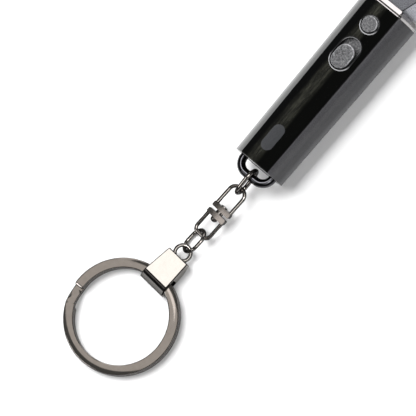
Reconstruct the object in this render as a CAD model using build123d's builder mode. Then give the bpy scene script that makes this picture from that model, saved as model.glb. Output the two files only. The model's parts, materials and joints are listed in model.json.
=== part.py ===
from build123d import *
import os
from math import sin, cos, tan, radians, sqrt

# Keychain flashlight, lying on its side facet with its chain stretched out.
# +X runs along the barrel toward the lamp, +Y to the left, +Z up.
# The origin is the centre of the barrel's bottom (rest) facet, so the barrel
# stands on z = 0 and the lamp axis is at z = 6.

os.makedirs("parts", exist_ok=True)

# --- barrel: flattened hexagonal tube, slightly tapered ---------------------
barrel_len = 51.2          # tail face to front edge
barrel_h = 12.0            # across the two level facets
top_half_tail = 4.30       # half width of the level facet at the tail
top_half_front = 5.06      # and at the front
side_out = 3.40            # how far the side corners stand out from the level facet
wall = 1.10                # square to each facet
insert_inset = wall + 0.02     # outline of the parts fitted inside the barrel
edge_r = 0.45              # rounding of the six long edges
end_cham = 0.2
rim_cham = 0.18            # around the openings in the top facet
trim_over = 0.02           # the blank stands this far over both level facets, then is trimmed
tail_x = -barrel_len / 2
front_x = barrel_len / 2
axis_z = barrel_h / 2

# --- controls on the top facet -----------------------------------------------
slide_x = tail_x + 34.4    # slide button centre in its off position
slide_travel = 2.0
slide_len, slide_wid = 6.7, 4.9
slot_clear = 0.15
slot_len = slide_len + slide_travel + 2 * slot_clear
slot_wid = 5.5
slot_x = slide_x + slide_travel / 2
push_x = tail_x + 44.8     # momentary push button centre
push_d = 4.2
push_hole_d = 4.5

# --- tail ----------------------------------------------------------------------
plug_t = 2.6
bail_wire = 2.2
bail_half = 4.75           # leg centre from the axis
bail_reach = 3.15          # bar centre behind the tail face
bail_corner = 3.0
bail_bar_x = tail_x - bail_reach

# --- front joint and head ---------------------------------------------------------
bush_len = 3.4
bush_bore = 9.0
spigot_d = 8.9
trim_groove = 0.30
trim_bevel = 1.00
trim_len = trim_groove + trim_bevel
spigot_len = trim_len + bush_len - 0.5
seal_x = front_x - 0.9     # centre of the seal groove
seal_groove_w, seal_groove_depth = 0.7, 0.45
neck_x = front_x + trim_len
neck_half, neck_hh, neck_out = 3.60, 4.65, 2.60     # neck section of the head
flare_len = 4.0
head_half, head_hh, head_out = 5.75, 6.00, 3.50     # full section of the head
head_end_half, head_end_out = 5.95, 3.55            # at its front end
head_len = 13.6
head_front_x = neck_x + head_len
bezel_len = 2.4
bore_d = 10.2
feed_bore_d = 6.6          # bore through the spigot
led_seat_x = neck_x + 4.6
led_x = led_seat_x + 1.24
led_base_t = 0.6
lens_t = 1.3
lens_x = head_front_x - lens_t - 0.6
optic_r = bore_d / 2 - 0.05        # outside of the reflector, gasket and lens
refl_x0 = led_x + 0.62
refl_x1 = lens_x - 0.45

# --- cells, sled and switches -------------------------------------------------------
cell_d, cell_t, cell_n = 7.9, 3.6, 4      # LR41 button cells, cell_t is their pitch
cell_x0 = tail_x + 8.6
cells_end_x = cell_x0 + cell_n * cell_t
sled_d = 8.8
sled_x0 = tail_x + 3.9
sled_x1 = push_x + 2.4 + 0.15
bay_x0 = tail_x + 4.9
bay_x1 = cells_end_x + 0.5
deck_x0 = bay_x1 + 1.2
deck_z = 6.2               # flat deck under the switch board
board_z0 = deck_z + 0.03
board_t = 0.8
board_x0, board_x1 = deck_x0 + 0.2, push_x + 2.35
switch_z0 = board_z0 + board_t + 0.02
slide_switch_top = switch_z0 + 2.6
push_switch_top = switch_z0 + 1.9
lever_w = 1.5
plate_t = 0.6              # button flanges under the top wall
plate_z0 = barrel_h - wall - 0.05 - plate_t
plunger_r = 1.2
plunger_top = plate_z0 - 0.55
stud_x = sled_x1 + 0.02


def axial(x, z=axis_z):
    """Plane square to the lamp axis at x, local x = +Y and local y = +Z."""
    return Plane(origin=(x, 0, z), x_dir=(0, 1, 0), z_dir=(1, 0, 0))


def hexagon(half, half_height, out, inset=0.0):
    """Flattened hexagon about the axis, each side moved in by inset."""
    slant = sqrt(half_height * half_height + out * out)
    shift_mid = inset * slant / half_height
    shift_top = shift_mid - inset * out / half_height
    top, mid, height = half - shift_top, half + out - shift_mid, half_height - inset
    return [(top, height), (mid, 0), (top, -height), (-top, -height), (-mid, 0), (-top, height)]


def barrel_half(x):
    """Half width of the level facet at x."""
    along = (x - tail_x) / barrel_len
    return top_half_tail + (top_half_front - top_half_tail) * along


def barrel_hexagon(x, inset):
    return hexagon(barrel_half(x), axis_z, side_out, inset)


# ===========================================================================
# Barrel and tail
# ===========================================================================
def barrel():
    over_in = trim_over * side_out / axis_z
    with BuildPart() as piece:
        for x, half in ((tail_x, top_half_tail), (front_x, top_half_front)):
            with BuildSketch(axial(x)):
                Polygon(*hexagon(half - over_in, axis_z + trim_over, side_out + over_in),
                        align=None)
        loft(ruled=True)
        # trim both level facets flat
        for z, amount in ((barrel_h, 1), (0, -1)):
            with BuildSketch(Plane.XY.offset(z)):
                Rectangle(barrel_len + 10, 30)
            extrude(amount=amount, mode=Mode.SUBTRACT)
        long_edges = piece.edges().filter_by(lambda e: e.length > barrel_len * 0.9)
        fillet(long_edges, edge_r)
        ends = piece.faces().sort_by(Axis.X)
        chamfer(ends[0].edges() + ends[-1].edges(), end_cham)
        # inside of the tube
        for x in (tail_x, front_x):
            with BuildSketch(axial(x)):
                Polygon(*barrel_hexagon(x, wall), align=None)
        loft(ruled=True, mode=Mode.SUBTRACT)
        # slot for the slide button and hole for the push button
        with BuildSketch(Plane.XY.offset(barrel_h + 1)):
            with Locations((slot_x, 0)):
                SlotOverall(slot_len, slot_wid)
            with Locations((push_x, 0)):
                Circle(push_hole_d / 2)
        extrude(amount=-(wall + 2), mode=Mode.SUBTRACT)
        top_facet = piece.faces().filter_by(Axis.Z).sort_by(Axis.Z)[-1]
        chamfer(top_facet.inner_wires().edges(), rim_cham)
    return piece.part


def tail_plug():
    with BuildPart() as piece:
        for x in (tail_x + 0.1, tail_x + plug_t):
            with BuildSketch(axial(x)):
                Polygon(*barrel_hexagon(x, insert_inset), align=None)
        loft(ruled=True)
        # holes for the bail legs
        with BuildSketch(axial(tail_x)):
            with Locations((bail_half, 0), (-bail_half, 0)):
                Circle(bail_wire / 2 + 0.03)
        extrude(amount=plug_t + 1, mode=Mode.SUBTRACT)
    return piece.part


def bail():
    """Bent wire bail, its legs headed over on the inner side of the plug."""
    leg_head_x = tail_x + plug_t + 0.05
    leg_head_t = 0.6
    leg_end_x = leg_head_x + 0.4
    corner_x = bail_bar_x + bail_corner
    bar_half = bail_half - bail_corner
    with BuildPart() as piece:
        with BuildLine(Plane.XY.offset(axis_z)) as path:
            Line((leg_end_x, bail_half), (corner_x, bail_half))
            RadiusArc((corner_x, bail_half), (bail_bar_x, bar_half), -bail_corner)
            Line((bail_bar_x, bar_half), (bail_bar_x, -bar_half))
            RadiusArc((bail_bar_x, -bar_half), (corner_x, -bail_half), -bail_corner)
            Line((corner_x, -bail_half), (leg_end_x, -bail_half))
        with BuildSketch(Plane(origin=(leg_end_x, bail_half, axis_z),
                               x_dir=(0, 1, 0), z_dir=(-1, 0, 0))):
            Circle(bail_wire / 2)
        sweep(path=path.line)
        with BuildSketch(axial(leg_head_x)):
            with Locations((bail_half, 0), (-bail_half, 0)):
                Circle(bail_wire / 2 + 0.25)
        extrude(amount=leg_head_t)
    return piece.part


# ===========================================================================
# Front joint: bush and trim ring
# ===========================================================================
def front_bush():
    bush_x = front_x - bush_len
    with BuildPart() as piece:
        for x in (bush_x, front_x - 0.05):
            with BuildSketch(axial(x)):
                Polygon(*barrel_hexagon(x, insert_inset), align=None)
        loft(ruled=True)
        with BuildSketch(axial(bush_x - 1)):
            Circle(bush_bore / 2)
        extrude(amount=bush_len + 2, mode=Mode.SUBTRACT)
    return piece.part


def trim_ring():
    """Recessed band against the barrel, then a bevel down to the neck."""
    groove_inset, bevel_inset = 0.5, 0.02
    with BuildPart() as piece:
        with BuildSketch(axial(front_x + 0.01)):
            Polygon(*hexagon(top_half_front, axis_z, side_out, groove_inset), align=None)
        extrude(amount=trim_groove)
        with BuildSketch(axial(front_x + trim_groove)):
            Polygon(*hexagon(top_half_front, axis_z, side_out, bevel_inset), align=None)
        with BuildSketch(axial(neck_x)):
            Polygon(*hexagon(neck_half, neck_hh, neck_out), align=None)
        loft(ruled=True)
        with BuildSketch(axial(front_x - 1)):
            Circle(bush_bore / 2 + 0.02)
        extrude(amount=trim_len + 3, mode=Mode.SUBTRACT)
    return piece.part


# ===========================================================================
# Head: shell with its spigot, seal, lamp and bezel
# ===========================================================================
def head_shell():
    flare_end_x = neck_x + flare_len
    neck = (neck_half, neck_hh, neck_out)
    full = (head_half, head_hh, head_out)
    front = (head_end_half, head_hh, head_end_out)
    # start x, start section, end x, end section
    lofts = (
        (neck_x + 0.02, neck, flare_end_x, full),
        (flare_end_x, full, head_front_x, front),
    )
    with BuildPart() as piece:
        for start_x, start, end_x, end in lofts:
            with BuildSketch(axial(start_x)):
                Polygon(*hexagon(*start), align=None)
            with BuildSketch(axial(end_x)):
                Polygon(*hexagon(*end), align=None)
            loft(ruled=True)
        with BuildSketch(axial(neck_x - spigot_len)):
            Circle(spigot_d / 2)
        extrude(amount=spigot_len + 2)
        # seal groove
        with BuildSketch(axial(seal_x - seal_groove_w / 2)):
            Circle(spigot_d / 2 + 1)
            Circle(spigot_d / 2 - seal_groove_depth, mode=Mode.SUBTRACT)
        extrude(amount=seal_groove_w, mode=Mode.SUBTRACT)
        # bore through the spigot, then the wide bore from the lamp seat forward
        with BuildSketch(axial(neck_x - spigot_len - 1)):
            Circle(feed_bore_d / 2)
        extrude(amount=spigot_len + 3 + led_seat_x - neck_x, mode=Mode.SUBTRACT)
        with BuildSketch(axial(led_seat_x)):
            Circle(bore_d / 2)
        extrude(amount=head_len, mode=Mode.SUBTRACT)
    return piece.part


def head_seal():
    section_r = 0.23
    ring_r = spigot_d / 2 - seal_groove_depth + 0.26
    with BuildPart() as piece:
        with BuildSketch(Plane(origin=(seal_x, 0, axis_z), x_dir=(1, 0, 0), z_dir=(0, -1, 0))):
            with Locations((0, ring_r)):
                Circle(section_r)
        revolve(axis=Axis((seal_x, 0, axis_z), (1, 0, 0)))
    return piece.part


def led_board():
    """Round board with a notch at its top and bottom."""
    thickness, notch_r = 1.2, 0.8
    with BuildPart() as piece:
        with BuildSketch(axial(led_seat_x + 0.02)):
            Circle(bore_d / 2 - 0.06)
            with Locations((0, bore_d / 2), (0, -bore_d / 2)):
                Circle(notch_r, mode=Mode.SUBTRACT)
        extrude(amount=thickness)
    return piece.part


def led():
    base_w, dome_r, dome_h, dome_round = 3.0, 1.25, 0.9, 0.85
    with BuildPart() as piece:
        with BuildSketch(axial(led_x)):
            RectangleRounded(base_w, base_w, 0.2)
        extrude(amount=led_base_t)
        with BuildSketch(axial(led_x + led_base_t)):
            Circle(dome_r)
        extrude(amount=dome_h)
        fillet(piece.faces().sort_by(Axis.X)[-1].edges(), dome_round)
    return piece.part


def reflector():
    """Bowl opening forward, its radius growing with the root of the depth."""
    throat_r, mouth_r = 1.55, 4.55
    depth = refl_x1 - refl_x0
    bowl = [(refl_x0 + depth * f, throat_r + (mouth_r - throat_r) * sqrt(f))
            for f in (0.0, 0.04, 0.12, 0.25, 0.45, 0.7, 1.0)]
    with BuildPart() as piece:
        with BuildSketch(Plane(origin=(0, 0, axis_z), x_dir=(1, 0, 0), z_dir=(0, -1, 0))):
            with BuildLine():
                Spline(*bowl)
                Polyline(bowl[-1], (refl_x1, optic_r), (refl_x1 - 0.6, optic_r),
                         (refl_x0 + 0.9, 3.5), (refl_x0, 2.5), bowl[0])
            make_face()
        revolve(axis=Axis((0, 0, axis_z), (1, 0, 0)))
    return piece.part


def lens_gasket():
    band, thickness = 0.5, 0.38
    with BuildPart() as piece:
        with BuildSketch(axial(refl_x1 + 0.02)):
            Circle(optic_r)
            Circle(optic_r - band, mode=Mode.SUBTRACT)
        extrude(amount=thickness)
    return piece.part


def lens():
    rim_round = 0.25
    with BuildPart() as piece:
        with BuildSketch(axial(lens_x)):
            Circle(optic_r)
        extrude(amount=lens_t)
        fillet(piece.faces().sort_by(Axis.X)[-1].edges(), rim_round)
    return piece.part


def bezel():
    """Hexagonal front cap with a collar reaching back to the lens."""
    rear_inset, front_inset = 0.25, 0.95
    mouth_r, mouth_cham = 4.5, 0.45
    with BuildPart() as piece:
        for x, inset in ((head_front_x + 0.02, rear_inset),
                         (head_front_x + bezel_len, front_inset)):
            with BuildSketch(axial(x)):
                Polygon(*hexagon(head_end_half, head_hh, head_end_out, inset), align=None)
        loft(ruled=True)
        with BuildSketch(axial(lens_x + lens_t + 0.02)):
            Circle(bore_d / 2 - 0.03)
        extrude(amount=head_front_x - lens_x - lens_t + 0.1)
        with BuildSketch(axial(head_front_x - 4)):
            Circle(mouth_r)
        extrude(amount=8, mode=Mode.SUBTRACT)
        chamfer(piece.faces().sort_by(Axis.X)[-1].inner_wires().edges(), mouth_cham)
    return piece.part


# ===========================================================================
# Battery sled, cells and contacts
# ===========================================================================
def sled():
    bay_open_z = axis_z + 2.2
    pocket_wid, pocket_depth = 5.2, 2.6
    passage_len, passage_wid = 3.0, 2.4
    with BuildPart() as piece:
        with BuildSketch(axial(sled_x0)):
            Circle(sled_d / 2)
        extrude(amount=sled_x1 - sled_x0)
        with BuildSketch(axial(bay_x0)):
            Circle(cell_d / 2 + 0.06)
        extrude(amount=bay_x1 - bay_x0, mode=Mode.SUBTRACT)
        # open top over the cells
        with BuildSketch(Plane.XY.offset(bay_open_z)):
            with Locations(((bay_x0 + bay_x1) / 2, 0)):
                Rectangle(bay_x1 - bay_x0, sled_d + 1)
        extrude(amount=5, mode=Mode.SUBTRACT)
        # flat deck for the switch board
        with BuildSketch(Plane.XY.offset(deck_z)):
            with Locations(((deck_x0 + sled_x1) / 2 + 1, 0)):
                Rectangle(sled_x1 - deck_x0 + 2, sled_d + 1)
        extrude(amount=5, mode=Mode.SUBTRACT)
        # lightening pocket under the board
        with BuildSketch(Plane.XY.offset(deck_z)):
            with Locations(((deck_x0 + sled_x1) / 2, 0)):
                Rectangle(sled_x1 - deck_x0 - 3.0, pocket_wid)
        extrude(amount=-pocket_depth, mode=Mode.SUBTRACT)
        # passage for the front contact strip
        with BuildSketch(Plane.XY.offset(deck_z + 0.85)):
            with Locations((bay_x1 + 0.6, 0)):
                Rectangle(passage_len, passage_wid)
        extrude(amount=4, mode=Mode.SUBTRACT)
    return piece.part


def cell(index):
    """Button cell: can toward the tail, smaller raised cap toward the lamp."""
    can_x = cell_x0 + index * cell_t
    can_t = cell_t - 0.42
    cap_t, cap_step = 0.4, 0.75
    can_round, cap_round = 0.3, 0.15
    with BuildPart() as piece:
        with BuildSketch(axial(can_x)):
            Circle(cell_d / 2)
        extrude(amount=can_t)
        fillet(piece.faces().sort_by(Axis.X)[0].edges(), can_round)
        with BuildSketch(axial(can_x + can_t)):
            Circle(cell_d / 2 - cap_step)
        extrude(amount=cap_t)
        fillet(piece.faces().sort_by(Axis.X)[-1].edges(), cap_round)
    return piece.part


def stepped_disc(disc_plane, disc_r, disc_t, boss_plane, boss_r, boss_len):
    """Disc with a round boss on its front face."""
    with BuildPart() as piece:
        with BuildSketch(disc_plane):
            Circle(disc_r)
        extrude(amount=disc_t)
        with BuildSketch(boss_plane):
            Circle(boss_r)
        extrude(amount=boss_len)
    return piece.part


def coil_spring(x0, x1, turns, coil_r, wire_r):
    """Open coil on the lamp axis, from x0 to x1 at the wire centre."""
    with BuildPart() as piece:
        with BuildLine() as coil:
            Helix(pitch=(x1 - x0) / turns, height=x1 - x0, radius=coil_r,
                  center=(x0, 0, axis_z), direction=(1, 0, 0))
        with BuildSketch(Plane(origin=coil.line @ 0, z_dir=coil.line % 0)):
            Circle(wire_r)
        sweep(path=coil.line, is_frenet=True)
    return piece.part


def tail_contact():
    disc_x, disc_t = bay_x0 + 0.02, 0.3
    return stepped_disc(axial(disc_x), 3.6, disc_t,
                        axial(disc_x + disc_t), boss_r=1.2, boss_len=0.5)


def tail_spring():
    return coil_spring(bay_x0 + 0.62, cell_x0 - 0.27, turns=3.5, coil_r=2.7, wire_r=0.22)


def front_contact():
    """Upright strip against the last cell and a level strip over the board."""
    strip_x = cells_end_x + 0.04
    strip_end_x = deck_x0 + 1.8
    strip_wid, upright_h = 2.0, 5.0
    upright_t, level_t = 0.3, 0.25
    with BuildPart() as piece:
        with BuildSketch(axial(strip_x)):
            Rectangle(strip_wid, upright_h)
        extrude(amount=upright_t)
        with BuildSketch(Plane.XY.offset(deck_z + 0.95)):
            with Locations(((strip_x + strip_end_x) / 2, 0)):
                Rectangle(strip_end_x - strip_x, strip_wid)
        extrude(amount=level_t)
    return piece.part


# lamp feed: brass stud on the sled and a coil that reaches the lamp board
def lamp_stud():
    disc_t = 0.5
    return stepped_disc(axial(stud_x, axis_z - 1.6), 2.0, disc_t,
                        axial(stud_x + disc_t), boss_r=0.9, boss_len=1.6)


def lamp_spring():
    return coil_spring(stud_x + 0.72, led_seat_x - 0.22, turns=7, coil_r=1.3, wire_r=0.19)


# ===========================================================================
# Switch board, its two switches and the buttons
# ===========================================================================
def switch_board():
    board_wid, corner_r = 8.0, 0.4
    with BuildPart() as piece:
        with BuildSketch(Plane.XY.offset(board_z0)):
            with Locations(((board_x0 + board_x1) / 2, 0)):
                RectangleRounded(board_x1 - board_x0, board_wid, corner_r)
        extrude(amount=board_t)
    return piece.part


def slide_switch():
    body_len, body_wid, slot_depth = 8.5, 3.6, 1.6
    with BuildPart() as piece:
        with BuildSketch(Plane.XY.offset(switch_z0)):
            with Locations((slot_x, 0)):
                RectangleRounded(body_len, body_wid, 0.3)
        extrude(amount=slide_switch_top - switch_z0)
        # slot the lever travels in
        with BuildSketch(Plane.XY.offset(slide_switch_top + 1)):
            with Locations((slot_x, 0)):
                Rectangle(slide_travel + lever_w + 0.3, lever_w + 0.2)
        extrude(amount=-(1 + slot_depth), mode=Mode.SUBTRACT)
    return piece.part


def switch_lever():
    in_switch, in_button = 1.5, 0.9       # lengths held in the switch and in the button
    with BuildPart() as piece:
        with BuildSketch(Plane.XY.offset(slide_switch_top - in_switch)):
            with Locations((slide_x, 0)):
                Rectangle(lever_w, lever_w)
        extrude(amount=in_switch + (plate_z0 - slide_switch_top) + in_button)
        chamfer(piece.faces().sort_by(Axis.Z)[-1].edges(), 0.15)
    return piece.part


def slide_button():
    """Oval cap on a thin shutter plate that keeps the slot closed."""
    plate_len, plate_wid, plate_corner = 11.9, 7.0, 1.2
    plate_x = slide_x - 0.30
    cap_z0 = plate_z0 + 0.5
    cap_top = barrel_h + 0.85
    with BuildPart() as piece:
        with BuildSketch(Plane.XY.offset(plate_z0)):
            with Locations((plate_x, 0)):
                RectangleRounded(plate_len, plate_wid, plate_corner)
        extrude(amount=plate_t)
        with BuildSketch(Plane.XY.offset(cap_z0)):
            with Locations((slide_x, 0)):
                SlotOverall(slide_len, slide_wid)
        extrude(amount=cap_top - cap_z0)
        fillet(piece.faces().sort_by(Axis.Z)[-1].edges(), 0.45)
        # socket for the lever
        with BuildSketch(Plane.XY.offset(plate_z0)):
            with Locations((slide_x, 0)):
                Rectangle(lever_w + 0.1, lever_w + 0.1)
        extrude(amount=1.05, mode=Mode.SUBTRACT)
    return piece.part


def push_switch():
    body_w, hole_r, hole_depth = 4.5, 1.3, 1.4
    with BuildPart() as piece:
        with BuildSketch(Plane.XY.offset(switch_z0)):
            with Locations((push_x, 0)):
                RectangleRounded(body_w, body_w, 0.4)
        extrude(amount=push_switch_top - switch_z0)
        with BuildSketch(Plane.XY.offset(push_switch_top)):
            with Locations((push_x, 0)):
                Circle(hole_r)
        extrude(amount=-hole_depth, mode=Mode.SUBTRACT)
    return piece.part


def switch_plunger():
    plunger_z0 = push_switch_top - 0.9
    with BuildPart() as piece:
        with BuildSketch(Plane.XY.offset(plunger_z0)):
            with Locations((push_x, 0)):
                Circle(plunger_r)
        extrude(amount=plunger_top - plunger_z0)
        fillet(piece.faces().sort_by(Axis.Z)[-1].edges(), 0.15)
    return piece.part


def push_button():
    """Round cap on a flange, with a short stem down to the plunger."""
    cap_z0 = plate_z0 + 0.5
    # bottom z, radius, height
    steps = (
        (plate_z0, 2.6, plate_t),
        (plunger_top + 0.03, plunger_r, plate_z0 - plunger_top + 0.2),
        (cap_z0, push_d / 2, barrel_h + 0.70 - cap_z0),
    )
    with BuildPart() as piece:
        for z, radius, height in steps:
            with BuildSketch(Plane.XY.offset(z)):
                with Locations((push_x, 0)):
                    Circle(radius)
            extrude(amount=height)
        fillet(piece.faces().sort_by(Axis.Z)[-1].edges(), 0.4)
    return piece.part


# ===========================================================================
# Chain.  Each link has its own plane: local x runs away from the barrel along
# the link, local z is square to the loop.  Pitch is the dip below level, yaw
# the turn toward +Y and roll the lean of the loop, all in degrees.
# ===========================================================================
def heading(pitch, yaw):
    """Unit vector away from the barrel, dipping by pitch and turned to +Y by yaw."""
    dip, turn = radians(pitch), radians(yaw)
    return Vector(-cos(dip) * cos(turn), cos(dip) * sin(turn), -sin(dip))


def side(yaw):
    """Level unit vector square to a heading, on its +Y side."""
    return Vector(sin(radians(yaw)), cos(radians(yaw)), 0)


def loop_normal(direction, yaw, roll):
    """Normal of a loop that contains direction, rolled about it from level."""
    level, up = side(yaw), side(yaw).cross(direction)
    return up * cos(radians(roll)) + level * sin(radians(roll))


# jump ring through the bail, standing on edge
jump_wire, jump_w, jump_l = 1.15, 5.2, 8.5
jump_pitch, jump_yaw = 21.0, 5.0
jump_dir = heading(jump_pitch, jump_yaw)
jump_start = Vector(bail_bar_x, 0, axis_z)             # centre of its near end arc
jump_arc_r = jump_w / 2 - jump_wire / 2                # of the wire centre
jump_centres = jump_l - jump_w
jump_end = jump_start + jump_dir * (jump_centres + jump_arc_r)

# swivel: two level stirrups joined by a rivet through their bars
stirrup_w, stirrup_wire = 5.6, 1.0
stirrup_half = stirrup_w / 2 - stirrup_wire / 2
bar_t, bar_h = 1.40, 1.70
bar_gap = 0.70
upper_reach = 7.2          # bow wire centre to bar centre
lower_reach = 6.2
swivel_pitch, swivel_yaw = 8.0, 4.2
rivet_d = 1.2
swivel_dir = heading(swivel_pitch, swivel_yaw)
swivel_up = loop_normal(swivel_dir, swivel_yaw, 0)
upper_bow = jump_end - jump_dir * (jump_wire / 2 + stirrup_wire / 2 + 0.30)
upper_bar = upper_bow + swivel_dir * upper_reach
lower_bar = upper_bar + swivel_dir * (bar_t + bar_gap)
lower_end = lower_bar + swivel_dir * lower_reach       # wire centre of the closed end

# oval link, leaning between the lower stirrup and the eye
oval_wire, oval_w, oval_l = 1.0, 6.2, 7.7
oval_pitch, oval_yaw, oval_roll = 2.0, 3.5, 42.0
chain_play = 0.12          # slack left between hooked wires
oval_dir = heading(oval_pitch, oval_yaw)
oval_near = lower_end - oval_dir * (stirrup_wire / 2 + oval_wire / 2 + chain_play)
oval_arc_r = oval_w / 2 - oval_wire / 2
oval_centre_l = oval_l - oval_wire                     # length of the wire centreline
oval_far = oval_near + oval_dir * oval_centre_l

# eye and ring clip
eye_wire, eye_od, eye_roll = 1.0, 5.0, -18.0
eye_set = 1.35             # the clip starts this far beyond the eye centre
clip_yaw = 4.0
clip_w_eye, clip_w_ring = 6.2, 7.6
clip_l = 10.2
clip_top = 4.15
chan_x0, chan_x1 = 5.2, 9.05       # cross channel for the key ring, along the clip
chan_z0, chan_z1 = 0.62, 3.50
eye_r = eye_od / 2 - eye_wire / 2
clip_dir = heading(0, clip_yaw)
eye_normal = loop_normal(clip_dir, clip_yaw, eye_roll)
eye_near = oval_far - oval_dir * (eye_wire / 2 + oval_wire / 2 + chain_play)
eye_centre = eye_near + clip_dir * eye_r
eye_section = Plane(origin=eye_centre, x_dir=clip_dir, z_dir=eye_normal.cross(clip_dir))
clip_start = Vector(eye_centre.X, eye_centre.Y, 0) + clip_dir * eye_set


def oval_loop(plane, near_x, far_x, arc_r, wire_d):
    """Closed wire loop, its end arcs centred at near_x and far_x on the plane."""
    with BuildPart() as piece:
        with BuildLine(plane) as path:
            Line((near_x, arc_r), (far_x, arc_r))
            ThreePointArc((far_x, arc_r), (far_x + arc_r, 0), (far_x, -arc_r))
            Line((far_x, -arc_r), (near_x, -arc_r))
            ThreePointArc((near_x, -arc_r), (near_x - arc_r, 0), (near_x, arc_r))
        with BuildSketch(Plane(origin=path.line @ 0, z_dir=path.line % 0)):
            Circle(wire_d / 2)
        sweep(path=path.line)
    return piece.part


def stirrup(origin, bar_x, end_x, corner_r, hole_r):
    """Wire stirrup from its flat bar at bar_x round the closed end at end_x."""
    plane = Plane(origin=origin, x_dir=swivel_dir, z_dir=swivel_up)
    toward_end = 1 if end_x > bar_x else -1
    arc_r = toward_end * corner_r          # signed, so both arcs bulge outward
    corner_x = end_x - arc_r
    end_half = stirrup_half - corner_r
    with BuildPart() as piece:
        with BuildLine(plane) as path:
            Line((bar_x, stirrup_half), (corner_x, stirrup_half))
            RadiusArc((corner_x, stirrup_half), (end_x, end_half), arc_r)
            Line((end_x, end_half), (end_x, -end_half))
            RadiusArc((end_x, -end_half), (corner_x, -stirrup_half), arc_r)
            Line((corner_x, -stirrup_half), (bar_x, -stirrup_half))
        with BuildSketch(Plane(origin=path.line @ 0, z_dir=path.line % 0)):
            Circle(stirrup_wire / 2)
        sweep(path=path.line)
        with BuildSketch(plane.offset(-bar_h / 2)):
            with Locations((bar_x, 0)):
                RectangleRounded(bar_t, stirrup_w, 0.35)
        extrude(amount=bar_h)
        # rivet hole
        with BuildSketch(Plane(origin=origin + swivel_dir * (bar_x - 2), z_dir=swivel_dir)):
            Circle(hole_r)
        extrude(amount=4, mode=Mode.SUBTRACT)
    return piece.part


def jump_ring():
    plane = Plane(origin=jump_start, x_dir=jump_dir, z_dir=side(jump_yaw))
    return oval_loop(plane, 0, jump_centres, jump_arc_r, jump_wire)


def swivel_upper():
    return stirrup(upper_bow, bar_x=upper_reach, end_x=0,
                   corner_r=2.0, hole_r=rivet_d / 2 + 0.01)


def swivel_rivet():
    head_round = 0.85
    # start point, distance beyond it, radius, length
    steps = (
        (upper_bar, -(bar_t / 2 + 0.25), rivet_d / 2, 0.25 + bar_t + bar_gap + bar_t + 0.35),
        (upper_bar, -(bar_t / 2 + 0.30), 0.9, 0.29),               # near head
        (upper_bar, bar_t / 2 + 0.03, 1.05, bar_gap - 0.06),       # collar between the bars
        (lower_bar, bar_t / 2 + 0.04, 0.95, 1.05),                 # domed far head
    )
    with BuildPart() as piece:
        for start, beyond, radius, length in steps:
            with BuildSketch(Plane(origin=start + swivel_dir * beyond, z_dir=swivel_dir)):
                Circle(radius)
            extrude(amount=length)
        fillet(piece.faces().sort_by(Axis(lower_bar, swivel_dir))[-1].edges(), head_round)
    return piece.part


def swivel_lower():
    return stirrup(lower_bar, bar_x=0, end_x=lower_reach,
                   corner_r=1.25, hole_r=rivet_d / 2 + 0.05)


def oval_link():
    plane = Plane(origin=oval_near + oval_dir * (oval_centre_l / 2), x_dir=oval_dir,
                  z_dir=loop_normal(oval_dir, oval_yaw, oval_roll))
    flat_half = oval_centre_l / 2 - oval_arc_r
    return oval_loop(plane, -flat_half, flat_half, oval_arc_r, oval_wire)


def clip_eye():
    """Closed ring brazed into the clip's narrow end."""
    with BuildPart() as piece:
        with BuildSketch(eye_section):
            with Locations((eye_r, 0)):
                Circle(eye_wire / 2)
        revolve(axis=Axis(eye_centre, eye_normal))
    return piece.part


def ring_clip():
    """Polished wedge with a cross channel for the key ring."""
    side_plane = Plane(origin=clip_start, x_dir=clip_dir, z_dir=side(clip_yaw))
    plan_plane = Plane(origin=clip_start, x_dir=clip_dir, z_dir=(0, 0, 1))
    # distance from the narrow end, height
    profile = [
        (0, eye_centre.Z - 1.15), (0, eye_centre.Z + 1.15), (8.6, clip_top),
        (clip_l, 2.95), (clip_l, 0.9), (9.4, 0.12), (2.2, 0.12),
    ]
    channel = [(chan_x0, chan_z0), (chan_x1, chan_z0), (chan_x1, chan_z1), (chan_x0, chan_z1)]
    # flanks of the plan taper, drawn 1 mm past both ends
    near_x, far_x = -1, clip_l + 1
    near_half, far_half = clip_w_eye / 2 - 0.06, clip_w_ring / 2 + 0.05
    cut_half = 6.5
    with BuildPart() as piece:
        with BuildSketch(side_plane):
            Polygon(*profile, align=None)
        extrude(amount=6, both=True)
        fillet(piece.edges().filter_by(lambda e: e.length > 11.9), 0.18)
        with BuildSketch(plan_plane.offset(-1)):
            Polygon((near_x, cut_half), (far_x, cut_half),
                    (far_x, far_half), (near_x, near_half), align=None)
            Polygon((near_x, -cut_half), (near_x, -near_half),
                    (far_x, -far_half), (far_x, -cut_half), align=None)
        extrude(amount=8, mode=Mode.SUBTRACT)
        with BuildSketch(side_plane):
            Polygon(*channel, align=None)
        extrude(amount=7, both=True, mode=Mode.SUBTRACT)
        # seat for the eye
        with BuildSketch(eye_section):
            with Locations((eye_r, 0)):
                Circle(eye_wire / 2 + 0.02)
        revolve(axis=Axis(eye_centre, eye_normal), mode=Mode.SUBTRACT)
    return piece.part


# ===========================================================================
# Key ring: flat split ring of two coils with a ramp between them
# ===========================================================================
ring_od, ring_band = 30.0, 2.6
ring_coil_t, ring_coil_gap = 1.28, 0.03
ring_cham = 0.30
ring_tilt = 1.45           # degrees, clip side raised
ring_seat = 7.12           # middle of the band from the clip's narrow end
ramp_deg = 16.0
end_deg = 96.0             # where the upper coil ends, measured from the clip side
top_deg = end_deg + ramp_deg
coil_overlap_deg = 0.8     # the coils' arcs stop this much short of the full turn
ramp_steps = 8
ring_ro, ring_ri = ring_od / 2, ring_od / 2 - ring_band
band_mid_r = ring_ro - ring_band / 2
coil_pitch = ring_coil_t + ring_coil_gap

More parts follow.
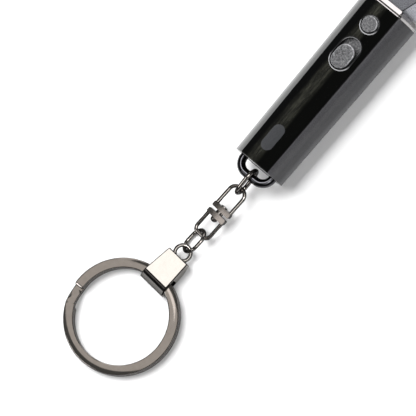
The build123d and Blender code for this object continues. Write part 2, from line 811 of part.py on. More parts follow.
ring_centre = clip_start + clip_dir * (ring_seat + band_mid_r)
ring_z = (chan_z0 + chan_z1) / 2 - band_mid_r * tan(radians(ring_tilt))
ring_x_dir = Vector(cos(radians(ring_tilt)), 0, sin(radians(ring_tilt)))
ring_plane = Plane(origin=(ring_centre.X, ring_centre.Y, ring_z), x_dir=ring_x_dir,
                   z_dir=ring_x_dir.cross(Vector(0, 1, 0)))


def band_plane(deg, lift):
    """Plane through the ring axis, its local x pointing outward at deg."""
    turn = radians(deg)
    radial = ring_plane.x_dir * cos(turn) + ring_plane.y_dir * sin(turn)
    return Plane(origin=ring_plane.origin + ring_plane.z_dir * lift, x_dir=radial,
                 z_dir=radial.cross(ring_plane.z_dir))


def key_ring():
    half_t = ring_coil_t / 2
    # chamfered flat wire: radius, height
    band = [
        (ring_ri, -half_t + ring_cham), (ring_ri, half_t - ring_cham),
        (ring_ri + ring_cham, half_t), (ring_ro - ring_cham, half_t),
        (ring_ro, half_t - ring_cham), (ring_ro, -half_t + ring_cham),
        (ring_ro - ring_cham, -half_t), (ring_ri + ring_cham, -half_t),
    ]
    ring_axis = Axis(ring_plane.origin, ring_plane.z_dir)
    with BuildPart() as piece:
        # lower coil, then upper coil
        for start_deg, lift in ((top_deg + coil_overlap_deg, -coil_pitch / 2),
                                (top_deg, coil_pitch / 2)):
            with BuildSketch(band_plane(start_deg, lift)):
                Polygon(*band, align=None)
            revolve(axis=ring_axis, revolution_arc=360 - ramp_deg - coil_overlap_deg)
        # ramp that carries the wire from the lower coil up to the upper one
        for k in range(ramp_steps + 1):
            f = k / ramp_steps
            lift = (3 * f * f - 2 * f * f * f - 0.5) * coil_pitch
            with BuildSketch(band_plane(end_deg + ramp_deg * f, lift)):
                Polygon(*band, align=None)
        loft(ruled=True)
    return piece.part


# ===========================================================================
# Build and save every piece under its function's name
# ===========================================================================
def save(part, name):
    part.label = name
    export_step(part, f"parts/{name}.step")


for build in (
    barrel, tail_plug, bail, front_bush, trim_ring,
    head_shell, head_seal, led_board, led, reflector, lens_gasket, lens, bezel,
    sled, tail_contact, tail_spring, front_contact, lamp_stud, lamp_spring,
    switch_board, slide_switch, switch_lever, slide_button,
    push_switch, switch_plunger, push_button,
    jump_ring, swivel_upper, swivel_rivet, swivel_lower, oval_link,
    clip_eye, ring_clip, key_ring,
):
    save(build(), build.__name__)

for number in range(cell_n):
    save(cell(number), f"cell_{number + 1}")
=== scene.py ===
import json
import math
import bpy
import bmesh
from mathutils import Vector, Matrix


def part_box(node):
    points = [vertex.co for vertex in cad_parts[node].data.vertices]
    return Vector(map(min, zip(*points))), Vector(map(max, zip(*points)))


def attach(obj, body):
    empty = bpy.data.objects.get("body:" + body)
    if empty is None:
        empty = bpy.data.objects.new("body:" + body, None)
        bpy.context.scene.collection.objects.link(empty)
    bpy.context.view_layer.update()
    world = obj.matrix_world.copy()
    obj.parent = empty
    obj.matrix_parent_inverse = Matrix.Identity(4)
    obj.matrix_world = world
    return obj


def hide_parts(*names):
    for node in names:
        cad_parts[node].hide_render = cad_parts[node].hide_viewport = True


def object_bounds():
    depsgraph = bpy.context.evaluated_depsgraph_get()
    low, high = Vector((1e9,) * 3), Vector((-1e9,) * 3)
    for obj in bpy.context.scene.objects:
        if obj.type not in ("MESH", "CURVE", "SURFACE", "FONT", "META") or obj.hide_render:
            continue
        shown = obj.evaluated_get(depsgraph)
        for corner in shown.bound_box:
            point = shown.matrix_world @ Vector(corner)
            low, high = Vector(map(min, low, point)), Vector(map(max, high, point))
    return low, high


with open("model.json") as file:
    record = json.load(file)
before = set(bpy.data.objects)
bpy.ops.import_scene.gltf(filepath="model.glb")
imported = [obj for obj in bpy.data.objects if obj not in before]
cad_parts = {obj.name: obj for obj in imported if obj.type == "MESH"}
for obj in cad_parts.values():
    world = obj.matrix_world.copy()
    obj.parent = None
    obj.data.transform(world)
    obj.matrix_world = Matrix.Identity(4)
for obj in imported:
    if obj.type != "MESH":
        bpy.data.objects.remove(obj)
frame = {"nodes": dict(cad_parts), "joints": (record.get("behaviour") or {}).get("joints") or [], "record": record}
cad_lo, cad_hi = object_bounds()
NODES = frame["nodes"]
SLOT = {part["node"]: part["material_slot"] for part in frame["record"]["subparts"]}
JOINT = {joint["name"]: joint for joint in frame["joints"]}
MM = 0.001


def centre(node):
    """Middle of a CAD node's box, in metres."""
    lo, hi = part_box(node)
    return (lo + hi) / 2


# ---------------------------------------------------------------------------
# shader helpers
# ---------------------------------------------------------------------------
SHADERS = {}


def grey(value):
    return (value,) * 3


def tint(colour, factor):
    return tuple(min(1.0, c * factor) for c in colour)


def set_stops(ramp_node, stops):
    """Replaces the stops of a colour ramp with (position, rgb) pairs."""
    elements = ramp_node.color_ramp.elements
    while len(elements) > 1:
        elements.remove(elements[-1])
    elements[0].position = stops[0][0]
    elements[0].color = tuple(stops[0][1]) + (1,)
    for position, colour in stops[1:]:
        elements.new(position).color = tuple(colour) + (1,)


class Shader:
    """A Principled material; helper arguments may be sockets or plain values."""

    def __init__(self, name):
        self.material = bpy.data.materials.new(name)
        self.material.use_nodes = True
        self.tree = self.material.node_tree
        self.tree.nodes.clear()
        output = self.node("ShaderNodeOutputMaterial")
        self.bsdf = self.node("ShaderNodeBsdfPrincipled")
        self.feed(self.bsdf.outputs[0], output.inputs[0])
        self.position = self.node("ShaderNodeTexCoord").outputs["Object"]
        SHADERS[name] = self

    def node(self, kind, **settings):
        node = self.tree.nodes.new(kind)
        for key, value in settings.items():
            setattr(node, key, value)
        return node

    def feed(self, value, socket):
        if isinstance(value, bpy.types.NodeSocket):
            self.tree.links.new(value, socket)
        else:
            socket.default_value = value

    def set(self, **inputs):
        """Feeds Principled inputs; underscores stand for spaces."""
        for key, value in inputs.items():
            self.feed(value, self.bsdf.inputs[key.replace("_", " ")])

    def base_colour(self):
        """The socket that now drives the base colour."""
        return self.bsdf.inputs["Base Color"].links[0].from_socket

    def noise(self, scale, detail=3.0, roughness=0.55, stretch=(1, 1, 1)):
        mapping = self.node("ShaderNodeMapping")
        mapping.inputs["Scale"].default_value = stretch
        self.feed(self.position, mapping.inputs["Vector"])
        noise = self.node("ShaderNodeTexNoise")
        noise.inputs["Scale"].default_value = scale
        noise.inputs["Detail"].default_value = detail
        noise.inputs["Roughness"].default_value = roughness
        self.feed(mapping.outputs[0], noise.inputs["Vector"])
        return noise.outputs["Fac"]

    def ramp(self, factor, stops):
        ramp = self.node("ShaderNodeValToRGB")
        set_stops(ramp, stops)
        self.feed(factor, ramp.inputs[0])
        return ramp.outputs[0]

    def mottle(self, factor, colour, vary):
        """Colour that swings by the fraction vary either way with a noise factor."""
        return self.ramp(factor, [(0.3, tint(colour, 1 - vary)), (0.7, tint(colour, 1 + vary))])

    def remap(self, value, source, to):
        node = self.node("ShaderNodeMapRange")
        for key, number in zip(("From Min", "From Max", "To Min", "To Max"), (*source, *to)):
            node.inputs[key].default_value = number
        self.feed(value, node.inputs[0])
        return node.outputs[0]

    def split(self, vector):
        node = self.node("ShaderNodeSeparateXYZ")
        self.feed(vector, node.inputs[0])
        return node.outputs

    def math(self, operation, first, second=None):
        node = self.node("ShaderNodeMath", operation=operation)
        self.feed(first, node.inputs[0])
        if second is not None:
            self.feed(second, node.inputs[1])
        return node.outputs[0]

    def vector_math(self, operation, first, second):
        node = self.node("ShaderNodeVectorMath", operation=operation)
        self.feed(first, node.inputs[0])
        self.feed(second, node.inputs["Scale" if operation == "SCALE" else 1])
        return node.outputs["Value" if operation == "DOT_PRODUCT" else 0]

    def bump(self, height, strength, distance=0.00003):
        node = self.node("ShaderNodeBump")
        node.inputs["Strength"].default_value = strength
        node.inputs["Distance"].default_value = distance
        self.feed(height, node.inputs["Height"])
        self.set(Normal=node.outputs[0])


def metal(name, colour, rough=(0.05, 0.12), vary=0.06, scale=900, bump=0.02, metallic=1.0,
          painted_rim=None):
    """Mottled metal; painted_rim lists (facing, factor) that scale the colour toward grazing angles, painting dark
    outlines or lighter sides in place of reflected shade and light.
    """
    m = Shader(name)
    m.set(Metallic=metallic)
    base = m.mottle(m.noise(scale, detail=4.0), colour, vary)
    if painted_rim:
        # painted light and shade: the colour is scaled by how squarely the surface faces the view
        weight = m.node("ShaderNodeLayerWeight")
        weight.inputs["Blend"].default_value = 0.5
        facing = weight.outputs["Facing"]
        factor = m.ramp(facing, [(position, grey(value)) for position, value in painted_rim])
        base = m.vector_math("MULTIPLY", base, factor)
        m.set(Specular_Tint=(0.25, 0.25, 0.25, 1))
        if painted_rim[-1][1] < 0.1:
            # A painted edge that ends dark also loses its metallic reflection, so the grazing outline renders as
            # painted shade.
            fade = [(0.0, metallic), (0.42, metallic), (0.62, 0), (1.0, 0)]
            m.set(Metallic=m.ramp(facing, [(position, grey(value)) for position, value in fade]),
                  Specular_IOR_Level=0.05)
    fine = m.noise(scale * 2.3, detail=5.0)
    m.set(Base_Color=base, Roughness=m.remap(fine, source=(0.3, 0.7), to=rough))
    m.bump(fine, strength=bump)
    return m


def plastic(name, colour, rough=(0.1, 0.16), vary=0.08, scale=1200, bump=0.03, spec=0.5,
            coat=0.0):
    m = Shader(name)
    speckle = m.noise(scale, detail=4.0)
    m.set(Base_Color=m.mottle(speckle, colour, vary),
          Roughness=m.remap(speckle, source=(0.3, 0.7), to=rough),
          Specular_IOR_Level=spec, Coat_Weight=coat, Coat_Roughness=0.03)
    m.bump(speckle, strength=bump)


def shade_by_side(m, stops, slope=0.0, x0=0.0):
    """Paints light and shade by scaling the base colour along y + slope * (x - x0); stops are (mm, factor), -8 to
    0 mm.
    """
    base = m.base_colour()
    span = 8
    at = slope * x0
    top = max(factor for _, factor in stops)
    across = m.vector_math("DOT_PRODUCT", m.node("ShaderNodeTexCoord").outputs["Object"],
                           (slope, 1.0, 0.0))
    place = m.remap(across, source=(at - span * MM, at), to=(0.0, 1.0))
    shade = m.ramp(place, [((y + span) / span, grey(factor / top)) for y, factor in stops])
    # Ramp colours stay within 1, so the largest factor is put back afterwards.
    shade = m.vector_math("SCALE", shade, top)
    m.set(Base_Color=m.vector_math("MULTIPLY", base, shade))


# ---------------------------------------------------------------------------
# materials
# ---------------------------------------------------------------------------
def gloss_black():
    """Black finish with painted light and shade down each flank, changing with height and side, and a streaked
    painted reflection along the middle of the top.
    """
    m = Shader("gloss_black")
    place = m.split(m.position)
    # 0 at the top facet, 1 well down the flank
    down = m.remap(place["Z"], source=(0.01195, 0.0060), to=(0.0, 1.0))
    # painted light and shade down the right flank: its dips and rises stand for reflected floor and shadow
    painted_right_flank = m.ramp(down, [
        (0.0, (0.0006, 0.0007, 0.0006)), (0.012, (0.0010, 0.0010, 0.0010)),
        (0.035, (0.078, 0.077, 0.082)), (0.16, (0.072, 0.071, 0.076)),
        (0.27, (0.058, 0.058, 0.062)), (0.47, (0.028, 0.028, 0.031)),
        (0.70, (0.024, 0.024, 0.027)), (0.9, (0.070, 0.070, 0.075)),
        (1.0, (0.085, 0.085, 0.09))])
    # the left flank gets its own, darker painted gradient, lighter toward the bottom
    painted_left_flank = m.ramp(down, [
        (0.0, (0.0012, 0.0013, 0.0014)), (0.25, (0.004, 0.004, 0.004)),
        (1.0, (0.04, 0.04, 0.042))])
    painted_flanks = m.node("ShaderNodeMix", data_type="RGBA")
    m.feed(m.math("GREATER_THAN", place["Y"], 0.0), painted_flanks.inputs[0])
    m.feed(painted_right_flank, painted_flanks.inputs[6])
    m.feed(painted_left_flank, painted_flanks.inputs[7])

    # painted reflection: a streaked sheen along the middle of the top facet
    sheen_noise = m.noise(1.0, detail=5.0, roughness=0.65, stretch=(260, 1500, 900))
    fleck = m.noise(4200, detail=2.0, roughness=0.7)
    painted_sheen_streaks = m.ramp(sheen_noise, [(0.30, (0.004, 0.004, 0.003)), (0.50, (0.017, 0.017, 0.0135)),
                              (0.68, (0.042, 0.042, 0.032))])
    # The painted reflection fades out 2 mm either side of y = 1 mm.
    off_band = m.math("ABSOLUTE", m.math("SUBTRACT", place["Y"], 0.0010))
    sheen_band = m.remap(off_band, source=(0.0, 0.0020), to=(1.0, 0.0))
    painted_sheen_streaks = m.vector_math("SCALE", painted_sheen_streaks, sheen_band)
    flecked = m.vector_math("SCALE", painted_flanks.outputs[2],
                            m.remap(fleck, source=(0.3, 0.7), to=(0.75, 1.25)))
    m.set(Base_Color=m.vector_math("ADD", flecked, painted_sheen_streaks),
          Roughness=m.remap(down, source=(0.0, 0.3), to=(0.08, 0.2)),
          Specular_IOR_Level=0.42)
    m.bump(fleck, strength=0.02, distance=0.00002)


def satin_grey():
    """Speckled grey with painted shade lower down and painted light and shade by the way the surface faces."""
    m = Shader("satin_grey")
    # painted shade: darker lower down, in the recess under the caps
    painted_depth_shade = m.remap(m.split(m.position)["Z"], source=(0.0112, 0.0124), to=(0.78, 1.0))
    speck = m.noise(2600, detail=3.0, roughness=0.7)
    colour = m.ramp(speck, [(0.32, (0.030, 0.030, 0.031)), (0.5, (0.115, 0.115, 0.12)),
                            (0.68, (0.25, 0.25, 0.255))])
    colour = m.vector_math("SCALE", colour, painted_depth_shade)
    normal = m.node("ShaderNodeNewGeometry").outputs["Normal"]
    upward = m.split(normal)["Z"]
    # Painted light and shade: brighter off the level and toward the front right; darker on walls that stand near
    # vertical.
    painted_tilt_light = m.remap(upward, source=(0.975, 0.86), to=(1.0, 1.7))
    painted_front_right_light = m.vector_math("DOT_PRODUCT", normal, (0.86, -0.5, 0.0))
    painted_front_right_light = m.remap(painted_front_right_light, source=(0.10, 0.42), to=(1.0, 2.6))
    painted_wall_shade = m.remap(upward, source=(0.0, 0.35), to=(0.15, 1.0))
    factor = m.math("MULTIPLY", m.math("MULTIPLY", painted_tilt_light, painted_front_right_light), painted_wall_shade)
    m.set(Base_Color=m.vector_math("SCALE", colour, factor), Metallic=0.25,
          Roughness=m.remap(speck, source=(0.3, 0.7), to=(0.32, 0.5)),
          Coat_Weight=0.5, Coat_Roughness=0.12)
    m.bump(speck, strength=0.25)


def collar_metal():
    """Dull metal with a painted highlight: light only where it faces the tail, painted dark elsewhere."""
    m = metal("collar", colour=(0.34, 0.34, 0.35), rough=(0.2, 0.3), metallic=0.1)
    base = m.base_colour()
    # painted highlight: the tail-facing side keeps its colour as a lit crescent, the rest is scaled near black
    forward = m.split(m.node("ShaderNodeNewGeometry").outputs["Normal"])["X"]
    light = m.remap(forward, source=(-0.20, 0.0), to=(1.0, 0.04))
    m.set(Specular_IOR_Level=0.08, Base_Color=m.vector_math("SCALE", base, light))


def clear_lens():
    m = Shader("clear_lens")
    m.set(Roughness=0.02, IOR=1.49, Transmission_Weight=1.0)
    cloud = m.noise(600)
    m.set(Base_Color=m.ramp(cloud, [(0.3, (0.93, 0.95, 0.97)), (0.7, (0.97, 0.98, 1.0))]),
          Roughness=m.remap(cloud, source=(0.3, 0.7), to=(0.01, 0.03)))


gloss_black()
metal("black_nickel", colour=(0.055, 0.055, 0.06), rough=(0.05, 0.09))
metal("bright_chrome", colour=(0.82, 0.82, 0.84), rough=(0.04, 0.09))
satin_silver = metal("satin_silver", colour=(0.185, 0.188, 0.205), rough=(0.24, 0.32),
                     vary=0.03, scale=2500, bump=0.004, metallic=0.5)
satin_grey()
# painted dark outlines: the colour fades toward grazing angles, leaving a bright core
metal("polished_nickel", colour=(0.52, 0.485, 0.455), rough=(0.05, 0.09), vary=0.04,
      scale=700, bump=0.006,
      painted_rim=[(0.0, 1.0), (0.11, 1.0), (0.24, 0.42), (0.40, 0.07), (1.0, 0.015)])
# painted light: the sides are made lighter at steep angles, standing for reflected floor, and somewhat darker
# right at grazing
metal("clip_nickel", colour=(0.52, 0.50, 0.48), rough=(0.06, 0.11), vary=0.03,
      scale=500, bump=0.004,
      painted_rim=[(0.0, 1.0), (0.35, 0.95), (0.55, 1.0), (0.7, 1.5), (1.0, 0.6)])
# painted dark outlines along the ring's edges toward grazing angles
metal("ring_nickel", colour=(0.52, 0.485, 0.455), rough=(0.05, 0.09), vary=0.04,
      scale=700, bump=0.006,
      painted_rim=[(0.0, 1.0), (0.20, 1.0), (0.32, 0.35), (0.48, 0.05), (1.0, 0.015)])
# painted shade: a dark copy of the clip's nickel for its bevels and end slope
metal("nickel_edge", colour=(0.045, 0.041, 0.039), rough=(0.12, 0.2), vary=0.1, bump=0.01)
metal("brass", colour=(0.72, 0.55, 0.28), rough=(0.15, 0.25))
plastic("white_plastic", colour=(0.75, 0.75, 0.72), rough=(0.35, 0.45))
metal("nickel_contact", colour=(0.7, 0.69, 0.66), rough=(0.18, 0.3))
metal("spring_steel", colour=(0.55, 0.55, 0.56), rough=(0.15, 0.25))
metal("cell_steel", colour=(0.66, 0.66, 0.67), rough=(0.15, 0.28))
plastic("green_board", colour=(0.03, 0.22, 0.09), rough=(0.2, 0.3))
metal("switch_steel", colour=(0.62, 0.62, 0.63), rough=(0.2, 0.3))
plastic("black_plastic", colour=(0.03, 0.03, 0.03), rough=(0.35, 0.5))
plastic("black_rubber", colour=(0.02, 0.02, 0.02), rough=(0.5, 0.65), spec=0.3)
metal("board_aluminium", colour=(0.8, 0.8, 0.8), rough=(0.3, 0.4))
plastic("lamp_phosphor", colour=(0.85, 0.7, 0.2), rough=(0.1, 0.2), coat=1.0)
metal("reflector_mirror", colour=(0.92, 0.92, 0.93), rough=(0.02, 0.05))
collar_metal()
trim_chrome = metal("trim_chrome", colour=(0.80, 0.775, 0.77), rough=(0.05, 0.10))
# painted shade on the trim's flank and a painted dark line along the edge of its top
shade_by_side(trim_chrome, stops=[(-8.0, 0.52), (-4.55, 0.40), (-4.45, 0.06), (-4.30, 0.08),
                                  (-4.22, 1.0), (0.0, 1.0)])
# painted light on the head's right facet and a painted dark line along the facet edge
shade_by_side(satin_silver, stops=[(-8.0, 1.9), (-3.85, 1.75), (-3.75, 0.22), (-3.58, 0.22),
                                   (-3.48, 1.0), (0.0, 1.0)],
              slope=0.478, x0=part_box("trim_ring")[1].x)
plastic("badge_grey", colour=(0.031, 0.032, 0.035), rough=(0.3, 0.42), bump=0.05, scale=2500,
        vary=0.2)
clear_lens()

for name, node in NODES.items():
    node.data.materials.clear()
    node.data.materials.append(SHADERS[SLOT[name]].material)


# ---------------------------------------------------------------------------
# mesh helpers, in millimetres
# ---------------------------------------------------------------------------
def loft(rings, loop=False):
    """Vertices and faces through rings of equal length; loop joins last to first, else caps."""
    n = len(rings[0])
    count = len(rings)
    verts = [point for ring in rings for point in ring]
    faces = []
    for k in range(count if loop else count - 1):
        a, b = k * n, (k + 1) % count * n
        faces += [(a + i, a + (i + 1) % n, b + (i + 1) % n, b + i) for i in range(n)]
    if not loop:
        faces.append(tuple(range(n - 1, -1, -1)))
        faces.append(tuple((count - 1) * n + i for i in range(n)))
    return verts, faces


def smooth(mesh, angle):
    mesh.polygons.foreach_set("use_smooth", [True] * len(mesh.polygons))
    mesh.set_sharp_from_angle(angle=math.radians(angle))


def solid(name, rings, loop=False):
    """Lofted object with welded points and outward normals."""
    verts, faces = loft(rings, loop)
    mesh = bpy.data.meshes.new(name)
    mesh.from_pydata([tuple(c * MM for c in v) for v in verts], [], faces)
    mesh.validate()
    o = bpy.data.objects.new(name, mesh)
    bpy.context.scene.collection.objects.link(o)
    bm = bmesh.new()
    bm.from_mesh(mesh)
    bmesh.ops.remove_doubles(bm, verts=bm.verts, dist=1e-7)
    bmesh.ops.recalc_face_normals(bm, faces=bm.faces)
    bm.to_mesh(mesh)
    bm.free()
    return o


def piece(name, rings, slot, body, *nodes, angle, loop=False, material=None):
    """Finished lofted piece that rides a body and may stand for CAD nodes."""
    o = solid(name, rings, loop)
    smooth(o.data, angle)
    o.data.materials.append(SHADERS[material or slot].material)
    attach(o, body)
    if nodes:
        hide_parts(*nodes)
    return o


def cut(o, cutters, angle):
    """Carves closed cutters out of o and leaves plain geometry."""
    for cutter in cutters:
        mod = o.modifiers.new("cut", "BOOLEAN")
        mod.operation = "DIFFERENCE"
        mod.solver = "EXACT"
        mod.object = cutter
    depsgraph = bpy.context.evaluated_depsgraph_get()
    carved = bpy.data.meshes.new_from_object(o.evaluated_get(depsgraph))
    o.modifiers.clear()
    old = o.data
    o.data = carved
    bpy.data.meshes.remove(old)
    for cutter in cutters:
        bpy.data.objects.remove(cutter)
    smooth(o.data, angle)


def corner_arc(before, corner, after, radius, n):
    """n + 1 points that round a corner between its two neighbours."""
    corner = Vector(corner)
    a = (Vector(before) - corner).normalized()
    b = (Vector(after) - corner).normalized()
    half = a.angle(b) / 2
    reach = radius / math.tan(half)
    mid = corner + (a + b).normalized() * (radius / math.sin(half))
    start, end = corner + a * reach - mid, corner + b * reach - mid
    t0 = math.atan2(start.y, start.x)
    turn = (math.atan2(end.y, end.x) - t0 + math.pi) % (2 * math.pi) - math.pi
    return [(mid.x + radius * math.cos(t0 + turn * k / n),
             mid.y + radius * math.sin(t0 + turn * k / n)) for k in range(n + 1)]


def hexagon_arcs(half_top, half_height, out, inset, radii, n):
    """Six corner arcs as (y, z), from the top left corner down and round.

    half_top is half the top facet's width, out how far the side corners stand beyond it,
    and inset moves every side inward.
    """
    side_inset = inset * math.hypot(half_height, out) / half_height
    top = half_top - (side_inset - inset * out / half_height)
    side = half_top + out - side_inset
    high = half_height - inset
    corners = [(top, high), (side, 0), (top, -high), (-top, -high), (-side, 0), (-top, high)]
    return [corner_arc(corners[k - 1], corners[k], corners[(k + 1) % 6], radii[k], n)
            for k in range(6)]


def stadium(cx, cy, length, width, grow, z, n=24):
    """Outline of a slot with round ends, or a circle when length equals width."""
    radius = width / 2 + grow
    reach = (length - width) / 2
    if reach < 1e-6:
        turns = [(0, 2 * math.pi * k / (2 * n)) for k in range(2 * n)]
    else:
        turns = [(reach, -math.pi / 2 + math.pi * k / n) for k in range(n + 1)]
        turns += [(-reach, math.pi / 2 + math.pi * k / n) for k in range(n + 1)]
    return [(cx + shift + radius * math.cos(t), cy + radius * math.sin(t), z)
            for shift, t in turns]


# ---------------------------------------------------------------------------
# barrel
# ---------------------------------------------------------------------------
barrel_lo, barrel_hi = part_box("barrel")
TAIL_X = barrel_lo.x / MM
LENGTH = barrel_hi.x / MM - TAIL_X
TOP_Z = barrel_hi.z / MM
MID_Z = (barrel_lo.z + barrel_hi.z) / MM / 2
HALF_HEIGHT = TOP_Z - MID_Z
TAIL_HALF_TOP, FRONT_HALF_TOP = 4.30, 5.06      # half width of the top facet
SIDE_OUT = 3.40                                 # side corner beyond the top facet
WALL = 1.1
FLANK_SAG = 0.30                                # bulge of the four slanted sides
TAIL_EDGE = [(0.0, 0.16), (0.05, 0.05), (0.16, 0.0)]        # from the tail, inset
FRONT_EDGE = [(0.62, 0.0), (0.59, 0.05), (0.58, 0.10)]      # back from the front, inset
FLANK_STEPS = (0.06, 0.15, 0.3, 0.45, 0.6, 0.75, 0.87, 0.95)
FLAT_STEPS = (0.1, 0.3, 0.5, 0.7, 0.9)


def barrel_ring(along, inset, sag, top_radius):
    """Barrel section at a distance from the tail: rounded corners and full flanks."""
    half_top = TAIL_HALF_TOP + (FRONT_HALF_TOP - TAIL_HALF_TOP) * (along / LENGTH)
    radii = [top_radius, 0.22, 0.45, 0.45, 0.22, top_radius]
    arcs = hexagon_arcs(half_top, HALF_HEIGHT, SIDE_OUT, inset, radii, n=8)
    outline = []
    for k, arc in enumerate(arcs):
        outline += arc
        start, end = Vector(arc[-1]), Vector(arcs[(k + 1) % 6][0])
        side = end - start
        outward = Vector((side.y, -side.x)).normalized()
        if outward.dot(start + end) < 0:
            outward = -outward
        flat = k in (2, 5)                      # bottom and top facets
        bulge = 0.0 if flat else sag
        for t in FLAT_STEPS if flat else FLANK_STEPS:
            outline.append(tuple(start + side * t + outward * (4 * bulge * t * (1 - t))))
    return [(TAIL_X + along, y, z + MID_Z) for y, z in outline]


stations = TAIL_EDGE + [(LENGTH * k / 16, 0.0) for k in range(1, 16)]
stations += [(LENGTH - back, inset) for back, inset in FRONT_EDGE]
rings = [barrel_ring(along, inset, FLANK_SAG, top_radius=0.45 + 1.45 * (along / LENGTH))
         for along, inset in stations]
rings += [barrel_ring(along, WALL, sag=0.0, top_radius=0.25)
          for along in (LENGTH - FRONT_EDGE[-1][0], 0.0)]
barrel = piece("barrel_finish", rings, SLOT["barrel"], "body", "barrel", angle=22, loop=True)

# Openings for the two buttons: (centre x, length, width)
slide_lo, slide_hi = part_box("slide_button")
push_lo, push_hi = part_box("push_button")
SLIDE_OPENING = ((slide_lo.x + slide_hi.x) / 2 / MM + 1.3, 9.0, 5.5)
PUSH_OPENING = ((push_lo.x + push_hi.x) / 2 / MM, 4.5, 4.5)
# (growth of the outline, height above the top facet)
WELL_PROFILE = [(0.0, -3.2), (0.0, -0.12), (0.10, 0), (0.35, 0.3)]
COLLAR_PROFILE = [(0.02, -0.13), (0.02, 0.03), (0.05, 0.12), (0.09, 0.155), (0.17, 0.16),
                  (0.41, 0.04), (0.44, -0.10)]


def opening_rings(opening, profile):
    x, length, width = opening
    return [stadium(x, 0, length, width, grow, TOP_Z + z) for grow, z in profile]


cut(barrel, [solid("well", opening_rings(opening, WELL_PROFILE))
             for opening in (SLIDE_OPENING, PUSH_OPENING)], angle=22)

# raised lips round the openings
for name, opening in (("slide_collar", SLIDE_OPENING), ("push_collar", PUSH_OPENING)):
    piece(name, opening_rings(opening, COLLAR_PROFILE), "gloss_black", "body", angle=24,
          loop=True, material="collar")

# ---------------------------------------------------------------------------
# trim ring: square groove, then a broad bevel down to its front
# ---------------------------------------------------------------------------
trim_lo, trim_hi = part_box("trim_ring")
TRIM_BACK = trim_lo.x / MM
TRIM_LENGTH = trim_hi.x / MM - TRIM_BACK
TRIM_HALF_HEIGHT = HALF_HEIGHT - 0.01
# (x from the back of the trim ring, inset)
LIP = [(-0.58, 1.10), (-0.58, 0.06), (-0.55, 0.0), (-0.50, -0.01), (-0.28, 0.13),
       (-0.26, 0.20), (-0.25, 0.62), (0.06, 0.62), (0.07, 0.05), (0.10, 0.01), (0.14, 0.0)]
# (distance back from the front, share of the bevel's narrowing)
BEVEL = [(0.08, 1.0), (0.02, 1.06), (0, 1.15)]


def trim_section(along, half_top, half_height, out, inset, radius):
    arcs = hexagon_arcs(half_top, half_height, out, inset, [radius] * 6, n=6)
    return [(TRIM_BACK + along, y, z + MID_Z) for arc in arcs for y, z in arc]


rings = [trim_section(along, FRONT_HALF_TOP, TRIM_HALF_HEIGHT, SIDE_OUT, inset, radius=0.5)
         for along, inset in LIP]
rings += [trim_section(TRIM_LENGTH - back, FRONT_HALF_TOP - 0.78 * share,
                       TRIM_HALF_HEIGHT - 0.58 * share, SIDE_OUT - 0.42 * share,
                       inset=0.0, radius=0.5)
          for back, share in BEVEL]
rings.append(trim_section(TRIM_LENGTH, FRONT_HALF_TOP - 0.9, HALF_HEIGHT - 0.72,
                          SIDE_OUT - 0.42, inset=0.60, radius=0.3))
piece("trim_finish", rings, SLOT["trim_ring"], "body", "trim_ring", angle=20, loop=True,
      material="trim_chrome")

# ---------------------------------------------------------------------------
# plain badge let into the top facet near the tail
# ---------------------------------------------------------------------------
BADGE_X, BADGE_Y = TAIL_X + 7.8, 0.35
BADGE_LENGTH, BADGE_WIDTH = 7.6, 3.3
BADGE_PROFILE = [(0.0, -0.3), (0.0, 0.005), (-0.03, 0.012)]     # growth, height above facet
piece("badge", [stadium(BADGE_X, BADGE_Y, BADGE_LENGTH, BADGE_WIDTH, grow, TOP_Z + z)
                for grow, z in BADGE_PROFILE],
      "satin_grey", "body", angle=30, material="badge_grey")

# ---------------------------------------------------------------------------
# key ring: flat wire in two coils, angles in degrees
# ---------------------------------------------------------------------------
RING_RADIUS = 15.0
WIRE_WIDTH, WIRE_THICKNESS = 2.6, 1.28
WIRE_RADIUS = RING_RADIUS - WIRE_WIDTH / 2      # middle of the wire
WIRE_EASE = 0.30                                # corner radius of the wire
COIL_PITCH = 1.31
COIL_START, COIL_END = 116.8, 815.2
RAMP_START, RAMP_TURN = 456, 20.0               # where the wire climbs a pitch
END_TAPER = 0.9                                 # length of each rounded end
ring_joint = JOINT["key_ring_turn"]
ring_origin = Vector(ring_joint["pos_m"]) / MM
ring_z = Vector(ring_joint["axis"]).normalized()
ring_x = Vector((0, 1, 0)).cross(ring_z).normalized()
ring_y = ring_z.cross(ring_x)


def wire_section(width_scale, thickness_scale):
    """Section of the flat wire as (radius, height), 24 points."""
    points = []
    for side, face, start in ((1, 1, 90), (1, -1, 0), (-1, -1, -90), (-1, 1, -180)):
        for k in range(6):
            t = math.radians(start - 18 * k)
            across = side * (WIRE_WIDTH / 2 - WIRE_EASE) + WIRE_EASE * math.cos(t)
            height = face * (WIRE_THICKNESS / 2 - WIRE_EASE) + WIRE_EASE * math.sin(t)
            points.append((WIRE_RADIUS + across * width_scale, height * thickness_scale))
    return points


def coil_height(angle):
    if angle <= RAMP_START:
        return -COIL_PITCH / 2
    if angle >= RAMP_START + RAMP_TURN:
        return COIL_PITCH / 2
    f = (angle - RAMP_START) / RAMP_TURN
    return (3 * f * f - 2 * f ** 3 - 0.5) * COIL_PITCH


def coil_angles():
    """Angles along the wire, closer on the ramp and closest at the ends."""
    angles = []
    angle = COIL_START
    while angle < COIL_END - 0.01:
        angles.append(angle)
        step = 1.0 if RAMP_START - 2 <= angle < RAMP_START + RAMP_TURN + 2 else 2.2
        if angle > COIL_END - 6 or angle < COIL_START + 6:
            step = 0.5
        angle += step
    return angles + [COIL_END]


